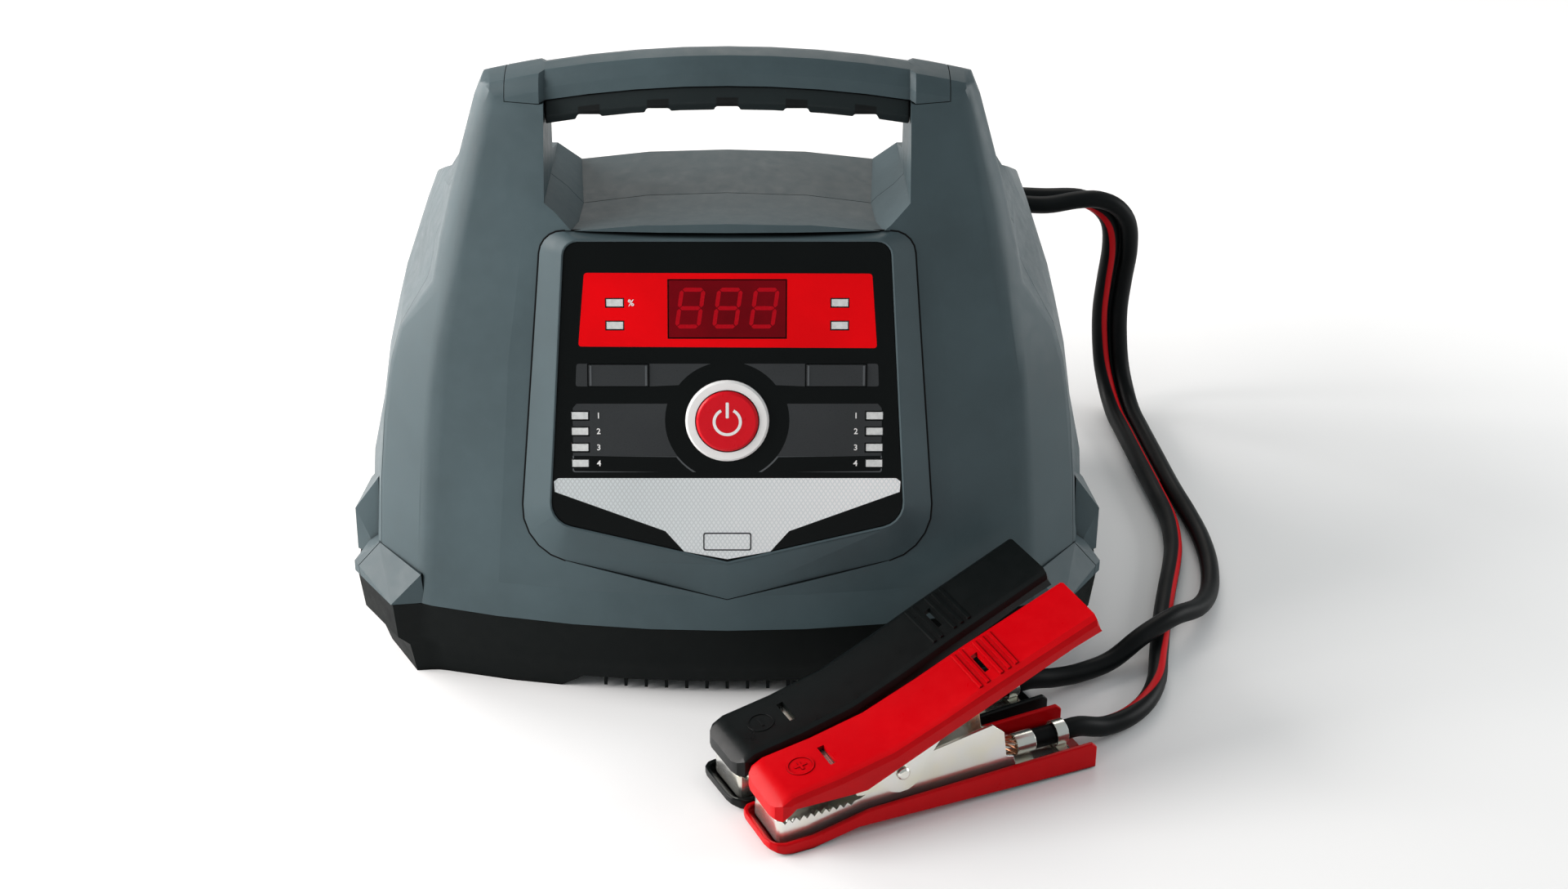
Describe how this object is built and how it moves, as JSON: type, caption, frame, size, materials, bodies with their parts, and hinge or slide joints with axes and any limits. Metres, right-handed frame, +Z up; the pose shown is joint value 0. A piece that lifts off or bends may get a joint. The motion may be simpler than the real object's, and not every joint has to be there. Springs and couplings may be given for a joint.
{
  "type": "car battery charger",
  "caption": "Bench battery charger with an arched carrying handle, a leaning control panel, a pair of output leads and spring clamps, red and black.",
  "frame": {"origin": "on the floor under the middle of the housing, leads and clamps not counted", "axes": "+X to the right seen from the front, +Y towards the rear, +Z up; the control panel faces -Y"},
  "size_m": [0.3468, 0.3391, 0.2414],
  "materials": {
    "shell": "fine textured blue-grey",
    "base": "matt black",
    "insert": "matt dark grey",
    "overlay": "gloss black film",
    "red_key": "satin red",
    "white": "satin white",
    "window": "clear dark red",
    "lens": "clear",
    "board": "green solder resist",
    "iron": "varnished steel",
    "winding": "enamelled copper",
    "aluminium": "mill finish",
    "zinc": "bright zinc plate",
    "copper": "bare copper",
    "red_plastic": "glossy red",
    "black_plastic": "satin black",
    "rubber": "matt black"
  },
  "bodies": {
    "charger": {"front_cover": "shell", "rear_cover": "shell", "handle_grip": "shell", "panel_bezel": "shell", "grip_insert": "insert", "base_tray": "base", "display_module": "base", "rate_key_switch": "base", "battery_type_key_switch": "base", "start_stop_switch": "base", "thermal_breaker": "base", "fan_housing": "base", "base_screw_1": "zinc", "base_screw_2": "zinc", "base_screw_3": "zinc", "base_screw_4": "zinc", "panel_overlay": "overlay", "control_board": "board", "display_window": "window", "light_pipe_upper_left": "lens", "light_pipe_upper_right": "lens", "light_pipe_lower_left": "lens", "light_pipe_lower_right": "lens", "start_stop_ring": "white", "transformer_core": "iron", "rectifier_diode_1": "iron", "rectifier_diode_2": "iron", "transformer_coil": "winding", "heat_sink": "aluminium", "output_gland": "rubber", "mains_inlet_gland": "rubber", "red_lead": "rubber", "black_lead": "rubber", "red_lower_cover": "red_plastic", "red_lower_jaw": "zinc", "red_pivot_rivet": "zinc", "red_spring": "zinc", "red_lead_strap": "zinc", "red_crimp": "copper", "black_lower_cover": "black_plastic", "black_lower_jaw": "zinc", "black_pivot_rivet": "zinc", "black_spring": "zinc", "black_lead_strap": "zinc", "black_crimp": "copper"},
    "fan": {"fan_rotor": "insert"},
    "start_button": {"start_stop_button": "red_key"},
    "rate_button": {"rate_key": "overlay"},
    "type_button": {"battery_type_key": "overlay"},
    "red_clamp_half": {"red_upper_cover": "red_plastic", "red_upper_jaw": "zinc"},
    "black_clamp_half": {"black_upper_cover": "black_plastic", "black_upper_jaw": "zinc"}
  },
  "joints": [
    {"name": "start_button_press", "type": "slide", "parent": "charger", "child": "start_button", "axis": [0, 0.9659, -0.2588], "range_m": [0, 0.0012], "stiffness_N_per_m": 400, "springref_m": -0.001},
    {"name": "rate_button_press", "type": "slide", "parent": "charger", "child": "rate_button", "axis": [0, 0.9659, -0.2588], "range_m": [0, 0.0008], "stiffness_N_per_m": 400, "springref_m": -0.001},
    {"name": "type_button_press", "type": "slide", "parent": "charger", "child": "type_button", "axis": [0, 0.9659, -0.2588], "range_m": [0, 0.0008], "stiffness_N_per_m": 400, "springref_m": -0.001},
    {"name": "fan_spin", "type": "hinge", "parent": "charger", "child": "fan", "pos_m": [-0.03, 0.09, 0.074], "axis": [0, 1, 0], "continuous": true},
    {"name": "red_clamp_squeeze", "type": "hinge", "parent": "charger", "child": "red_clamp_half", "pos_m": [0.05795, -0.16395, 0.021], "axis": [-0.4115, 0.9114, 0], "range_deg": [0, 18], "stiffness_Nm_per_rad": 1.2, "springref_deg": -20.05},
    {"name": "black_clamp_squeeze", "type": "hinge", "parent": "charger", "child": "black_clamp_half", "pos_m": [0.04346, -0.13668, 0.021], "axis": [-0.4462, 0.8949, 0], "range_deg": [0, 18], "stiffness_Nm_per_rad": 1.2, "springref_deg": -20.05}
  ]
}
